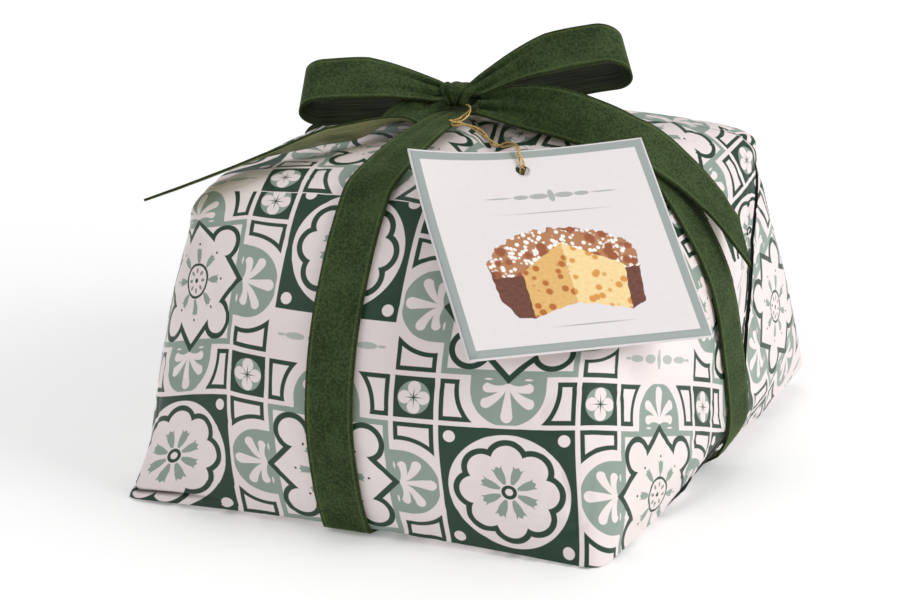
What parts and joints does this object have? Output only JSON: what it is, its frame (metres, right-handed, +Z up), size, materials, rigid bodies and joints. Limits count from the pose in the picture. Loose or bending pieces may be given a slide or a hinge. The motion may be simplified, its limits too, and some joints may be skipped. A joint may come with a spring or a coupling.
{
  "type": "gift-wrapped festive cake",
  "caption": "Square low cake hand-wrapped in tile-patterned paper, cross-tied with a velvet ribbon and bow, with a card tag on a metallic cord.",
  "frame": {"origin": "middle of the parcel's underside, on the flat of the crossed ribbon that it rests on", "axes": "+Z up; -Y is the front, the face that one leg of the ribbon climbs beside the tag; +X is the parcel's right side"},
  "size_m": [0.2799, 0.2998, 0.2113],
  "materials": {
    "printed_paper": "satin printed wrapping paper, folded like an envelope",
    "green_velvet": "dark green velvet with a lighter selvage",
    "tag_card": "matte printed card",
    "gold_cord": "twisted metallic yarn"
  },
  "bodies": {
    "root": {"wrapped_parcel": "printed_paper", "ribbon_bands": "green_velvet", "bow_knot": "green_velvet", "bow_loop_left": "green_velvet", "bow_loop_right": "green_velvet", "ribbon_tail_left": "green_velvet", "ribbon_tail_right": "green_velvet", "gift_tag": "tag_card", "tag_cord": "gold_cord"}
  },
  "joints": []
}
